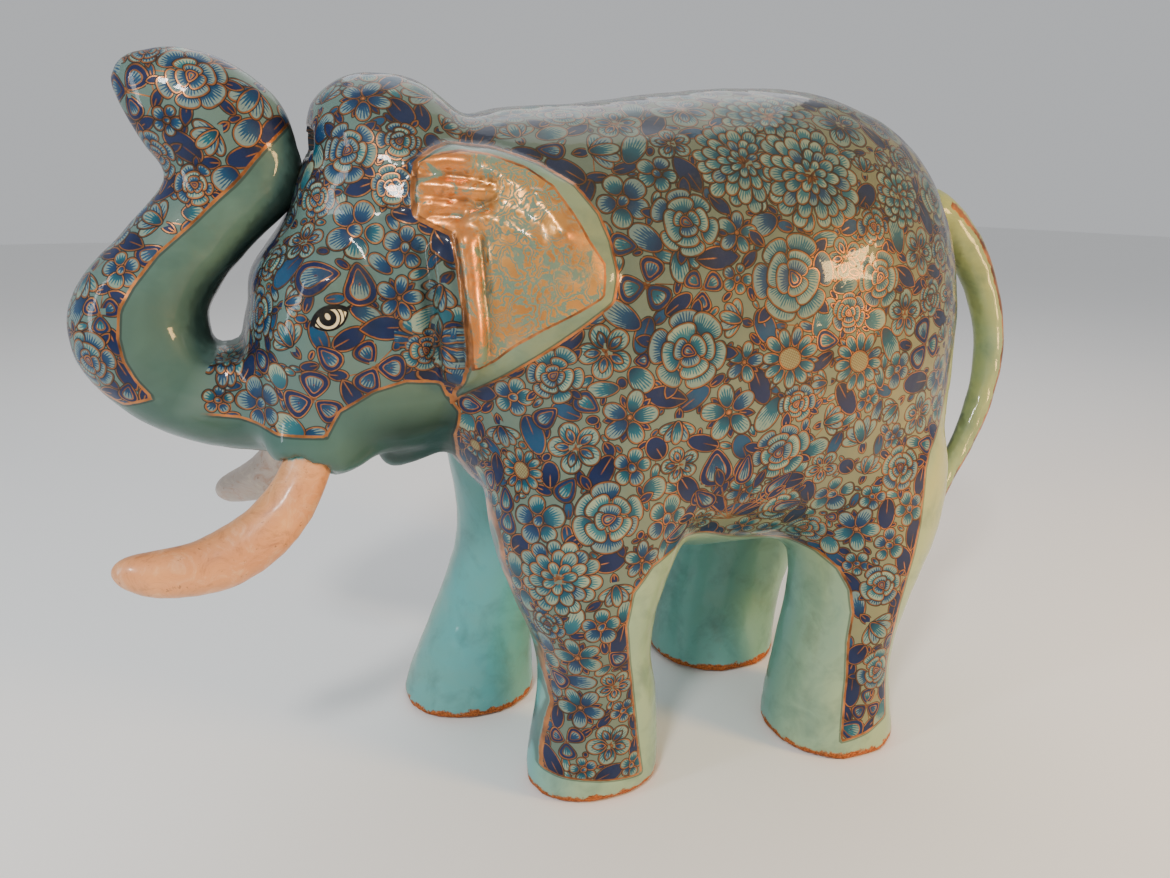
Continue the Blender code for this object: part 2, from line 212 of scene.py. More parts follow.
def hollows(data, co, no, reach):
    """Share of the open side of each vertex that the figure itself closes off nearby."""
    skin = BVHTree.FromPolygons([tuple(p) for p in co], [tuple(p.vertices) for p in data.polygons])
    golden = math.pi * (3 - math.sqrt(5))
    count = 14
    ways = []
    for k in range(count):
        z = 1 - (2 * k + 1) / count
        r = math.sqrt(1 - z * z)
        ways.append((r * math.cos(golden * k), r * math.sin(golden * k), z))
    facing = no @ np.array(ways).T
    hits = np.zeros(len(co))
    rays = np.zeros(len(co))
    starts = co + no * 0.6
    for k, way in enumerate(ways):
        for i in np.nonzero(facing[:, k] > 0.2)[0]:
            rays[i] += 1
            if skin.ray_cast(starts[i], way, reach)[0] is not None:
                hits[i] += 1
    return hits / np.maximum(rays, 1)


def smooth(a, b, v):
    """0 at a and 1 at b, eased at both ends."""
    t = np.clip((v - a) / (b - a), 0, 1)
    return t * t * (3 - 2 * t)


# --- painted motifs

# Kinds of stroke; 0 is no stroke. The shader tells them apart by these numbers.
PETAL, RINGED, DISC, OVAL, LEAF, POINTED, STEM, GOLDEN = range(1, 9)
# Paints, in the order of the shader's palettes.
TEAL, DEEP, NAVY, CREAM, COPPER, PALE = range(6)


def polar(r, a):
    """The point at distance r in direction a."""
    return r * math.cos(a), r * math.sin(a)


def ring_of(rng, count, radius, half_length, half_width, kind, paints, turn=0.0, jitter=0.06):
    """Strokes in a ring that point outwards, each a little off its place as a hand would paint it."""
    out = []
    for i in range(count):
        a = turn + 2 * math.pi * i / count + rng.normal(0, jitter)
        r = radius * (1 + rng.normal(0, jitter * 0.6))
        grown = 1 + rng.normal(0, jitter)
        paint = paints[int(rng.integers(len(paints)))]
        out.append((*polar(r, a), a, half_length * grown, half_width * grown, kind, paint))
    return out


def motif(rng, kind, R, slim, turn):
    """Strokes of one motif from the top one down: x, y, angle, half length, half width, kind, paint."""
    def ring(*shape):
        return ring_of(rng, *shape)

    def one_of(paints):
        return paints[int(rng.integers(len(paints)))]

    if kind == "mum":
        out = ring(7, 0.07 * R, 0.09 * R, 0.035 * R, GOLDEN, [COPPER], turn, 0.2)
        rings = [(0.2, 8, 0.15, 0.09), (0.4, 12, 0.19, 0.12), (0.62, 15, 0.21, 0.14), (0.82, 18, 0.19, 0.15)]
        if R < 22:
            rings = [(0.26, 7, 0.2, 0.13), (0.54, 11, 0.25, 0.17), (0.8, 14, 0.23, 0.19)]
        for k, (r, n, a, b) in enumerate(rings):
            out += ring(n, r * R, a * R, b * R, PETAL, [TEAL, TEAL, PALE], turn + k * 0.3)
        return out
    if kind == "sunflower":
        out = [(0, 0, turn, 0.4 * R, 0.36 * R, DISC, CREAM)]
        out += ring(11, 0.68 * R, 0.32 * R, 0.19 * R, PETAL, [TEAL], turn)
        return out + ring(9, 0.84 * R, 0.25 * R, 0.1 * R, POINTED, [DEEP], turn + 0.3)
    if kind == "peony":
        out = [(0, 0, turn, 0.2 * R, 0.15 * R, RINGED, TEAL)]
        out += ring(3, 0.22 * R, 0.19 * R, 0.27 * R, PETAL, [TEAL, DEEP], turn, 0.1)
        out += ring(4, 0.44 * R, 0.24 * R, 0.38 * R, PETAL, [TEAL, PALE], turn + 0.6, 0.1)
        out += ring(6, 0.72 * R, 0.26 * R, 0.38 * R, PETAL, [TEAL, DEEP], turn + 0.2, 0.1)
        return out + ring(4, 1.0 * R, 0.28 * R, 0.15 * R, LEAF, [NAVY], turn + 0.2, 0.15)
    if kind == "lotus":
        out = ring(3, 0.07 * R, 0.09 * R, 0.05 * R, GOLDEN, [COPPER], turn, 0.2)
        for i in range(5):
            a = turn + 2 * math.pi * i / 5 + rng.normal(0, 0.06)
            out.append((*polar(0.46 * R, a), a, 0.28 * R, 0.15 * R, POINTED, DEEP))
            out.append((*polar(0.56 * R, a), a, 0.42 * R, 0.36 * R, PETAL, TEAL))
        return out
    if kind == "tree":
        out = []
        for i in range(9):
            a = math.radians(14 + 152 * i / 8 + rng.normal(0, 4))
            reach = R * rng.uniform(0.78, 1.05)
            if i % 2 == 0:
                out.append((*polar(reach, a), a + math.pi, 0.25 * R, 0.13 * R, RINGED, DEEP))
            else:
                out.append((*polar(reach, a), a + math.pi, 0.18 * R, 0.08 * R, LEAF, NAVY))
            out.append((*polar(reach / 2, a), a, reach / 2, 0.45, STEM, COPPER))
        return out
    if kind == "teardrop":
        return [(0, 0, turn, R, slim * R, RINGED, one_of([TEAL, DEEP]))]
    if kind == "trefoil":
        out = ring(3, 0.06 * R, 0.1 * R, 0.05 * R, GOLDEN, [COPPER], turn)
        turn += math.pi / 3
        return out + ring(3, 0.54 * R, 0.46 * R, 0.42 * R, RINGED, [TEAL, DEEP], turn, 0.05)
    if kind == "star":
        out = [(0, 0, turn, 0.1 * R, 0.1 * R, OVAL, COPPER)]
        out += ring(5, 0.56 * R, 0.44 * R, 0.3 * R, PETAL, [TEAL, TEAL, DEEP], turn, 0.05)
        return out + ring(5, 0.62 * R, 0.26 * R, 0.12 * R, LEAF, [NAVY], turn + math.pi / 5, 0.05)
    if kind == "cluster":
        out = [(0, 0, turn, 0.24 * R, 0.2 * R, PETAL, DEEP)]
        return out + ring(5, 0.58 * R, 0.38 * R, 0.36 * R, PETAL, [TEAL, TEAL, DEEP], turn, 0.08)
    if kind == "fan":
        out = []
        for i in (0, -1, 1, -2, 2):
            a = turn + i * 0.6
            paint = DEEP if abs(i) == 1 else TEAL
            out.append((*polar(0.36 * R, a), a, 0.58 * R, 0.27 * R, PETAL, paint))
        return out + [(*polar(-0.5 * R, turn), turn, 0.34 * R, 0.2 * R, LEAF, NAVY)]
    if kind == "petal":
        return [(0, 0, turn, R, slim * R, PETAL, one_of([TEAL, TEAL, TEAL, DEEP, PALE]))]
    if kind == "oval":
        return [(0, 0, turn, R, slim * R, OVAL, one_of([NAVY, NAVY, DEEP]))]
    if kind == "leaf":
        return [(0, 0, turn, R * 1.08, slim * R, LEAF, NAVY)]
    return [(0, 0, turn, R, 0.3, STEM, COPPER)]


# Flowers from the largest down: radius in mm, the most that are placed, and kinds.
SIZES = [
    (17.5, 26, ["peony", "lotus", "peony"]),
    (14.0, 95, ["lotus", "peony", "cluster", "lotus", "star", "fan"]),
    (11.0, 180, ["cluster", "fan", "lotus", "cluster", "star", "fan", "peony", "trefoil"]),
    (8.6, 150, ["cluster", "teardrop", "fan", "teardrop"]),
]
# Half widths in mm of the petals and leaves that fill the ground left between them.
FILLERS = [5.8, 4.9, 4.2, 3.6, 3.0, 2.5, 2.0, 1.6, 1.25]
ROUND_KINDS = ["petal", "petal", "teardrop", "oval"]
LONG_KINDS = ["leaf", "oval", "petal", "oval"]
SMALL_KINDS = ["oval", "oval", "petal"]
# Share of a flower's radius, and of a filler's half width, that has to be free for it.
FLOWER_SHARE, FILLER_SHARE = 0.84, 0.8
# Width to length of the oval that a flower takes up.
FLOWER_SLIM = 0.74
# Vines join motifs of at least this radius that are no further apart than this, in mm.
VINE_FROM_R, VINE_REACH = 3.5, 26


def place_motifs(rng, co, no, room):
    """Flowers from the largest down, then petals and leaves turned along the ground that is left."""
    tree = kdtree.KDTree(len(co))
    for i, p in enumerate(co):
        tree.insert(p, i)
    tree.balance()
    placed = []
    free = room.copy()
    # smaller flowers on the trunk
    scale = 1.0 - 0.14 * smooth(-200, -230, co[:, 0])

    def around(i, reach):
        """Spots within reach that face the same way."""
        near = np.array([k for _, k, _ in tree.find_range(co[i], reach)])
        return near[no[near] @ no[i] > 0.3]

    def keep(i, R, kind, slim, heading=None):
        """Note the motif and take its oval away from the free ground round it."""
        near = around(i, R + 18)
        gap = co[near] - co[i]
        far = np.linalg.norm(gap, axis=1)
        along = far if heading is None else gap @ heading
        size = 0.2 * R if kind == "tree" else R
        ratio = np.sqrt((along / size) ** 2 + np.maximum(far ** 2 - along ** 2, 0) / (size * slim) ** 2)
        free[near] = np.minimum(free[near], far - far / np.maximum(ratio, 0.02))
        placed.append((i, R, kind, slim, heading))

    for x, z, side, R, kind in LARGE:
        near = np.hypot(co[:, 0] - x, co[:, 2] - z) + np.where(no[:, 1] * side > 0.05, 0, 1e3)
        near += np.abs(co[:, 1] - side * 90) * 0.02
        keep(int(near.argmin()), R, kind, 0.7)
    order = rng.permutation(np.nonzero(room > 1.5)[0])
    for R, most, kinds in SIZES:
        count = 0
        for i in order:
            size = R * scale[i]
            if free[i] < size * FLOWER_SHARE:
                continue
            kind = kinds[int(rng.integers(len(kinds)))]
            keep(i, size * (0.8 if kind == "teardrop" else 1.0), kind, FLOWER_SLIM)
            count += 1
            if count >= most:
                break
    for wide in FILLERS:
        for i in order:
            if free[i] < wide * FILLER_SHARE:
                continue
            near = around(i, 3.4 * wide)
            gap = co[near] - co[i]
            spread = (gap * np.maximum(free[near], 0)[:, None]).T @ gap
            values, axes = np.linalg.eigh(spread)
            heading = axes[:, 2] - no[i] * (axes[:, 2] @ no[i])
            heading *= rng.choice([-1, 1]) / np.linalg.norm(heading)
            stretch = float(np.clip((values[2] / max(values[1], 1e-9)) ** 0.6, 1.12, 1.9))
            kinds = ROUND_KINDS if stretch < 1.4 else LONG_KINDS
            if wide <= 2.4:
                kinds = SMALL_KINDS
            kind = kinds[int(rng.integers(len(kinds)))]
            half = min(max(free[i], wide), wide * 1.15)
            keep(i, half * stretch, kind, 1 / stretch, heading)
    return placed + vines_between(co, no, placed, tree)


def vines_between(co, no, placed, surface):
    """Thin stems under the motifs, from each to its nearest neighbours."""
    spots = kdtree.KDTree(len(placed))
    for k, (i, *_) in enumerate(placed):
        spots.insert(co[i], k)
    spots.balance()
    made = []
    for k, (i, R, *_) in enumerate(placed):
        if R < VINE_FROM_R:
            continue
        for _, other, gap in spots.find_n(co[i], 4)[1:]:
            j = placed[other][0]
            large = placed[other][1] > VINE_FROM_R
            if other > k and large and gap < VINE_REACH and no[i] @ no[j] > 0.7:
                middle = surface.find((co[i] + co[j]) / 2)[1]
                made.append((middle, gap / 2, "vine", 1.0, co[j] - co[i]))
    return made


def stroke_layers(rng, co, no, quads, spots, facings, placed):
    """For each face the strokes over it, the top one first."""
    middle = co[quads].mean(1)
    facing = no[quads].mean(1)
    tree = kdtree.KDTree(len(middle))
    for i, p in enumerate(middle):
        tree.insert(p, i)
    tree.balance()
    layers = np.full((len(quads), LAYERS), -1, dtype=np.int64)
    used = np.zeros(len(quads), dtype=np.int64)
    strokes = []
    for i, R, kind, slim, heading in placed:
        centre = spots[i]
        n = Vector(facings[i]).normalized()
        t = n.cross(Vector((0, 1, 0)) if abs(n.y) < 0.9 else Vector((0, 0, 1))).normalized()
        if kind == "tree":
            t = Vector((0, 0, 1)).cross(n).normalized()
        if heading is not None:
            t = (Vector(heading) - n * n.dot(Vector(heading))).normalized()
        b = n.cross(t)
        turn = rng.uniform(0, 2 * math.pi) if heading is None and kind != "tree" else 0.0
        # more blue petals towards the head
        cobalt = 0.65 * smooth(-60, -130, centre[0]) + 0.06
        near = np.array([k for _, k, _ in tree.find_range(centre, R * 1.3 + 3)])
        if not len(near):
            continue
        near = near[facing[near] @ np.array(n) > 0.25]
        rel = middle[near] - centre
        X, Y = rel @ np.array(t), rel @ np.array(b)
        for x, y, a, half, wide, shape, paint in motif(rng, kind, R, slim, turn):
            c, s = math.cos(a), math.sin(a)
            u = (X - x) * c + (Y - y) * s
            v = (Y - y) * c - (X - x) * s
            over = (u / (half + 2.4)) ** 2 + (v / (wide + 2.4)) ** 2 < 1
            faces = near[over]
            faces = faces[used[faces] < LAYERS]
            layers[faces, used[faces]] = len(strokes)
            used[faces] += 1
            # nothing shows under the middle of a wide stroke
            if half > 2.5 and wide > 2.5 and shape not in (LEAF, POINTED, STEM, GOLDEN):
                hidden = (u / (half - 2.2)) ** 2 + (v / (wide - 2.2)) ** 2 < 0.9
                used[near[hidden]] = LAYERS
            if paint == TEAL and shape != STEM and rng.random() < cobalt:
                paint = DEEP
            strokes.append((*centre, *t, *b, x, y, c, s, half, wide, shape, paint))
    return layers, np.array(strokes)


def write_layers(data, co, quads, layers, strokes):
    """Each layer as a colour attribute: along, across, kind and half length, paint and half width."""
    corners = co[quads]
    for k in range(LAYERS):
        ids = layers[:, k]
        e = strokes[np.maximum(ids, 0)]
        rel = corners - e[:, None, 0:3]
        X = np.einsum("fcd,fd->fc", rel, e[:, 3:6]) - e[:, None, 9]
        Y = np.einsum("fcd,fd->fc", rel, e[:, 6:9]) - e[:, None, 10]
        u = X * e[:, None, 11] + Y * e[:, None, 12]
        v = Y * e[:, None, 11] - X * e[:, None, 12]
        out = np.zeros((len(quads), 4, 4), dtype=np.float32)
        out[..., 0] = u
        out[..., 1] = v
        out[..., 2] = (e[:, 15] * 100 + e[:, 13])[:, None]
        out[..., 3] = (e[:, 16] * 100 + e[:, 14])[:, None]
        out[ids < 0] = 0
        layer = data.attributes.new(f"stroke_{k}", "FLOAT_COLOR", "CORNER")
        layer.data.foreach_set("color", out.ravel())


# --- shader arithmetic

def operator(name, turned=False):
    """A method of Sock that works out its result with a math node."""
    if turned:
        return lambda self, other: calc(self.tree, name, other, self)
    return lambda self, *others: calc(self.tree, name, self, *others)


class Sock:
    """A shader value that can be added, multiplied and compared."""

    def __init__(self, tree, out):
        self.tree, self.out = tree, out

    __add__, __radd__ = operator("ADD"), operator("ADD", True)
    __sub__, __rsub__ = operator("SUBTRACT"), operator("SUBTRACT", True)
    __mul__, __rmul__ = operator("MULTIPLY"), operator("MULTIPLY", True)
    __truediv__ = operator("DIVIDE")
    abs, sqrt = operator("ABSOLUTE"), operator("SQRT")
    sin, floor = operator("SINE"), operator("FLOOR")
    min, max = operator("MINIMUM"), operator("MAXIMUM")

    def clamp(self):
        return calc(self.tree, "MULTIPLY", self, 1.0, clamp=True)

    def over(self, edge, width=0.2):
        """0 below the edge and 1 above it, or the other way round where the width is negative."""
        return calc(self.tree, "MULTIPLY_ADD", self, 1 / width, 0.5 - edge / width, clamp=True)


def join(tree, value, socket):
    """Link a shader value to the socket, or set it to a number or a colour."""
    if isinstance(value, Sock):
        tree.links.new(value.out, socket)
    elif isinstance(value, tuple) and len(value) == 3 and len(socket.default_value) == 4:
        socket.default_value = (*value, 1)
    else:
        socket.default_value = value


def calc(tree, operation, *values, clamp=False):
    """The result of one arithmetic node."""
    node = tree.nodes.new("ShaderNodeMath")
    node.operation = operation
    node.use_clamp = clamp
    for socket, value in zip(node.inputs, values):
        join(tree, value, socket)
    return Sock(tree, node.outputs[0])


def mix(tree, factor, a, b):
    """Colour a, turning into b as the factor goes from 0 to 1."""
    node = tree.nodes.new("ShaderNodeMix")
    node.data_type = "RGBA"
    join(tree, factor, node.inputs[0])
    join(tree, a, node.inputs[6])
    join(tree, b, node.inputs[7])
    return Sock(tree, node.outputs[2])


def blend(tree, factor, a, b):
    """Number a, turning into b as the factor goes from 0 to 1."""
    node = tree.nodes.new("ShaderNodeMix")
    join(tree, factor, node.inputs[0])
    join(tree, a, node.inputs[2])
    join(tree, b, node.inputs[3])
    return Sock(tree, node.outputs[0])


def cloud(tree, where, scale, detail=3.0, rough=0.55, twist=0.0):
    """Noise around 0.5."""
    node = tree.nodes.new("ShaderNodeTexNoise")
    tree.links.new(where, node.inputs["Vector"])
    node.inputs["Scale"].default_value = scale
    node.inputs["Detail"].default_value = detail
    node.inputs["Roughness"].default_value = rough
    node.inputs["Distortion"].default_value = twist
    return Sock(tree, node.outputs["Fac"])


def channels(tree, name):
    """Red, green, blue and alpha of one of the mesh's colour attributes."""
    node = tree.nodes.new("ShaderNodeAttribute")
    node.attribute_name = name
    parts = tree.nodes.new("ShaderNodeSeparateColor")
    tree.links.new(node.outputs["Color"], parts.inputs[0])
    return [Sock(tree, s) for s in (*parts.outputs, node.outputs["Alpha"])]


def coordinates(tree):
    """Where the textures lie, and the same as x, y and z in mm."""
    where = tree.nodes.new("ShaderNodeTexCoord").outputs["Object"]
    split = tree.nodes.new("ShaderNodeSeparateXYZ")
    tree.links.new(where, split.inputs[0])
    return where, [Sock(tree, s) * 1000 for s in split.outputs]


def new_material(name):
    """A material with its node tree and its main shader."""
    mat = bpy.data.materials.new(name)
    mat.use_nodes = True
    return mat, mat.node_tree, mat.node_tree.nodes["Principled BSDF"]


def bump_of(tree, height, strength, distance):
    """The normal of fine relief, with its depth in metres."""
    bump = tree.nodes.new("ShaderNodeBump")
    bump.inputs["Strength"].default_value = strength
    bump.inputs["Distance"].default_value = distance
    tree.links.new(height.out, bump.inputs["Height"])
    return bump.outputs[0]


def palette(tree, index, colours):
    """A step ramp that gives one colour to each whole number from 0 up."""
    node = tree.nodes.new("ShaderNodeValToRGB")
    node.color_ramp.interpolation = "CONSTANT"
    marks = node.color_ramp.elements
    while len(marks) < len(colours):
        marks.new(0.5)
    for i, colour in enumerate(colours):
        marks[i].position = i / 10
        marks[i].color = (*colour, 1)
    tree.links.new((index * 0.1 + 0.02).out, node.inputs[0])
    return Sock(tree, node.outputs[0])


COPPER_PAINT = linear(198, 124, 66)
BROWN_PAINT = linear(104, 64, 36)
INK = linear(30, 27, 26)
# Each paint at the foot of a petal, halfway and at the tip, in the order TEAL, DEEP, NAVY, CREAM, COPPER, PALE.
FOOT_PAINTS = [
    linear(8, 52, 74), linear(9, 36, 76), linear(12, 17, 52),
    linear(160, 150, 104), linear(150, 92, 50), linear(30, 88, 104),
]
MIDDLE_PAINTS = [
    linear(22, 98, 116), linear(22, 72, 108), linear(18, 34, 78),
    linear(158, 148, 100), COPPER_PAINT, linear(52, 118, 126),
]
TIP_PAINTS = [
    linear(132, 152, 134), linear(120, 142, 136), linear(22, 50, 108),
    linear(154, 144, 98), COPPER_PAINT, linear(156, 170, 142),
]
# What the stroke group is given: the first two hold a stroke's place, kind, paint and half sizes.
STROKE_INPUTS = {"Place": "Color", "Code": "Float", "Colour": "Color", "Metal": "Float",
                 "Grain": "Float", "Clip": "Float", "Line": "Color"}


def stroke_group():
    """One painted stroke over what is beneath it."""
    tree = bpy.data.node_groups.new("stroke", "ShaderNodeTree")
    for name, kind in STROKE_INPUTS.items():
        tree.interface.new_socket(name, in_out="INPUT", socket_type="NodeSocket" + kind)
    tree.interface.new_socket("Colour", in_out="OUTPUT", socket_type="NodeSocketColor")
    tree.interface.new_socket("Metal", in_out="OUTPUT", socket_type="NodeSocketFloat")
    given = tree.nodes.new("NodeGroupInput").outputs
    place, code, under, metal, grain, clip, line = (Sock(tree, s) for s in list(given)[:len(STROKE_INPUTS)])
    parts = tree.nodes.new("ShaderNodeSeparateColor")
    tree.links.new(place.out, parts.inputs[0])
    # along the stroke and across it in mm; kind and paint are packed as hundreds
    u, v, packed = (Sock(tree, s) for s in parts.outputs)
    shape = (packed * 0.01).floor()
    half = packed - shape * 100
    paint = (code * 0.01).floor()
    wide = code - paint * 100

    def is_kind(number):
        return shape.over(number - 0.5, 0.1) * (1 - shape.over(number + 0.5, 0.1))

    here = shape.over(PETAL - 0.5, 0.1)
    ringed, disc, oval, leaf, stem = (is_kind(k) for k in (RINGED, DISC, OVAL, LEAF, STEM))
    golden = shape.over(GOLDEN - 0.5, 0.1)
    sharp = shape.over(LEAF - 0.5, 0.1)

    # Distance in mm inside the edge: an egg, a leaf with sharp ends or a straight line.
    s = u / half.max(0.1)
    swell = 1 + s * (0.14 * (1 - oval - disc) + 0.34 * ringed)
    w = (wide * swell).max(0.15)
    across = v / w
    r = (s * s + across * across).sqrt()
    slope = ((s / half.max(0.1)) * (s / half.max(0.1)) + (across / w) * (across / w)).sqrt().max(0.02)
    round_d = (1 - r) * r / slope
    bow = (half * half + wide * wide) / (wide * 2).max(0.1)
    lift = v.abs() + bow - wide
    sharp_d = bow - (u * u + lift * lift).sqrt()
    stem_d = (wide - v.abs()).min(half - u.abs())
    d = blend(tree, sharp, round_d, sharp_d)
    d = blend(tree, stem, d, stem_d)

    # Copper outline with ink round it and just inside it.
    thick = 0.4 + 0.38 * grain
    inside = d.over(0.0) * here * clip
    halo = d.over(-0.5, 0.24) * here * clip * (1 - golden) * (1 - stem)
    deep = d - thick
    edge = (1 - deep.over(0.0)) * (1 - golden)

    # Colour from foot to tip, with the fanned ends of the brush hairs.
    t = s * 0.5 + 0.5
    comb = (v * half / (u + half * 1.5) * 8.0).sin()
    wash = (0.68 + comb * 0.16 + (grain - 0.5) * 0.35 - across * across * 0.3 - t).over(0.0, 0.12)
    base, middle, tip = (palette(tree, paint, row) for row in (FOOT_PAINTS, MIDDLE_PAINTS, TIP_PAINTS))
    body = mix(tree, t.over(0.35, 0.5), base, middle)
    fill = mix(tree, wash.max((oval + leaf).clamp()), tip, body)

    # Ringed drops have a navy border, discs a crosshatch, leaves a rib.
    ring_w = wide * 0.3
    ring = (1 - (deep - ring_w).over(0.0)) * ringed
    fill = mix(tree, ring, fill, mix(tree, paint.over(0.5), linear(14, 40, 84), linear(14, 26, 74)))
    inner = ((deep - ring_w - 0.3).abs() - 0.32).over(0.0, -0.2) * ringed
    hatch = ((u * 2.6).sin().abs().min((v * 2.6).sin().abs())).over(0.26, -0.2) * disc
    fill = mix(tree, hatch * 0.85, fill, BROWN_PAINT)
    rib = v.abs().over(0.3, -0.2) * (s + 0.5).abs().over(0.42, -0.2)
    rib = rib * (leaf + oval).clamp() * half.over(3.6, 0.2)
    fill = mix(tree, deep.over(0.2, -0.25) * 0.5, fill, INK)
    drawn = edge.max(inner).max(rib).max(stem)
    fill = mix(tree, drawn, fill, line)
    gilt = (drawn * 0.7).max(golden * 0.8)
    out = mix(tree, halo * 0.92, under, INK)
    out = mix(tree, inside, out, fill)
    shine = blend(tree, inside, metal * (1 - halo * 0.6), gilt)
    result = tree.nodes.new("NodeGroupOutput")
    tree.links.new(out.out, result.inputs[0])
    tree.links.new(shine.out, result.inputs[1])
    return tree


def ground_paint(tree, where, place, patch, edge):
    """Plain paint, or the ground of the flowers where edge is 1; and the mask of the painted shade under the
    chin.
    """
    x, y, z = place
    # turquoise legs and teal above; painted warm light makes it yellower towards the tail and paler yellow on
    # the outer sides
    plain = mix(tree, z.over(190, 130), linear(90, 158, 158), linear(70, 95, 87))
    rear_warm_light = x.over(80, 280) * (z.over(130, 90) * 0.5 + 0.35)
    plain = mix(tree, rear_warm_light, plain, linear(154, 160, 98))
    outer = y.abs().over(72, 30) * (0.5 - z.over(210, 50) * 0.2)
    plain = mix(tree, outer, plain, linear(182, 182, 118))
    # uneven brushing
    wash = cloud(tree, where, 14, 4, 0.6, 0.6)
    plain = mix(tree, wash.over(0.55, 0.35) * 0.5, plain, linear(110, 146, 130))
    plain = mix(tree, patch.over(0.6, 0.25) * 0.4, plain, linear(56, 88, 84))
    # painted shade on the jaw under the trunk, darkest under the chin
    jaw_shade = z.over(258, -24) * z.over(192, 16) * x.over(-70, -30)
    plain = mix(tree, jaw_shade * 0.75, plain, linear(58, 84, 76))
    chin_shade = z.over(236, -14) * x.over(-150, 30) * x.over(-74, -20) * z.over(192, 16)
    plain = mix(tree, chin_shade * 0.8, plain, linear(30, 50, 44))
    # the ground of the flowers turns yellower towards the tail: painted warm light
    ground = mix(tree, x.over(20, 320), linear(98, 124, 116), linear(152, 144, 96))
    ground = mix(tree, patch.over(0.5, 0.4) * 0.35, ground, linear(86, 114, 108))
    return mix(tree, edge, plain, ground), chin_shade


def gilding(tree, where, place, patch):
    """Gold leaf of the ears: how much of it is left at each spot, and its colour."""
    x, _, z = place
    swirl = tree.nodes.new("ShaderNodeTexNoise")
    swirl.inputs["Scale"].default_value = 85
    swirl.inputs["Detail"].default_value = 3
    tree.links.new(where, swirl.inputs["Vector"])
    moved = tree.nodes.new("ShaderNodeVectorMath")
    moved.operation = "MULTIPLY_ADD"
    moved.inputs[1].default_value = (0.02, 0.02, 0.02)
    tree.links.new(swirl.outputs["Color"], moved.inputs[0])
    tree.links.new(where, moved.inputs[2])
    cells = tree.nodes.new("ShaderNodeTexVoronoi")
    cells.feature = "DISTANCE_TO_EDGE"
    cells.inputs["Scale"].default_value = 105
    cells.inputs["Randomness"].default_value = 1.0
    tree.links.new(moved.outputs[0], cells.inputs["Vector"])
    wall = Sock(tree, cells.outputs["Distance"])

    # scrolls between thin gaps, closed sheets of leaf on the roll and above, and bare patches
    scroll = wall.over(0.06, 0.03).min(((wall - 0.2).abs()).over(0.045, 0.02))
    roll = x.over(-98, -12)
    sheet = cloud(tree, where, 42, 4, 0.6).over(0.57, 0.08) * (z.over(318, 30) * 0.5 + 0.5)
    bare = cloud(tree, where, 60, 5, 0.7, 1.0).over(0.43, 0.06)
    leafed = scroll.max(sheet.max(roll * 0.85)) * bare
    tone = mix(tree, patch.over(0.5, 0.5), linear(186, 116, 54), linear(224, 162, 86))
    # the gold on the roll is painted more orange: a painted warm highlight
    return leafed, mix(tree, roll * 0.6, tone, linear(214, 116, 46))


def painted_eye(tree, place, colour, metal):
    """Cream almond with a dark iris, arcs round it and a heavy upper lid, on both cheeks."""
    x, y, z = place
    cream, black_paint = linear(222, 204, 160), linear(12, 11, 12)
    on_face = y.abs().over(EAR_FROM_Y, 4)
    # along and across the eye, which slants
    dx, dz = x - EYE_X, z - EYE_Z
    ex, ez = dx * 0.92 + dz * 0.39, dz * 0.92 - dx * 0.39
    # an almond is what two circles share
    radius = (EYE_BOW * EYE_BOW + EYE_TALL * EYE_TALL) / (2 * EYE_TALL)
    up = ez.abs() + (radius - EYE_TALL)
    almond = radius - (ex * ex + up * up).sqrt()
    ix, iz = ex + 1.0, ez - 1.1
    iris = (ix * ix + iz * iz).sqrt()
    arcs = (iris - 5.6).abs().over(0.4, -0.25).max((iris - 7.4).abs().over(0.28, -0.25))
    black = iris.over(3.9, -0.25).max(arcs)
    # a cream spot in the iris: a painted highlight
    painted_glint = ((ix - 0.2) * (ix - 0.2) + (iz - 0.6) * (iz - 0.6) * 0.5).sqrt().over(1.1, -0.25)
    lid = (almond - 0.5).abs().over(0.55, -0.25)
    top_lid = (almond + 0.1).abs().over(1.15, -0.3) * ez.over(0.2, 0.8)
    corner = (ez - 0.9 - ex * 0.06).abs().over(0.7, -0.3) * ex.over(6.5, 1) * (1 - ex.over(11, 1))
    white = almond.over(0.0) * on_face
    lines = lid.max(top_lid).max(corner) * on_face
    colour = mix(tree, white, colour, mix(tree, black * (1 - painted_glint), cream, black_paint))
    return mix(tree, lines, colour, black_paint), metal * (1 - white.max(lines))


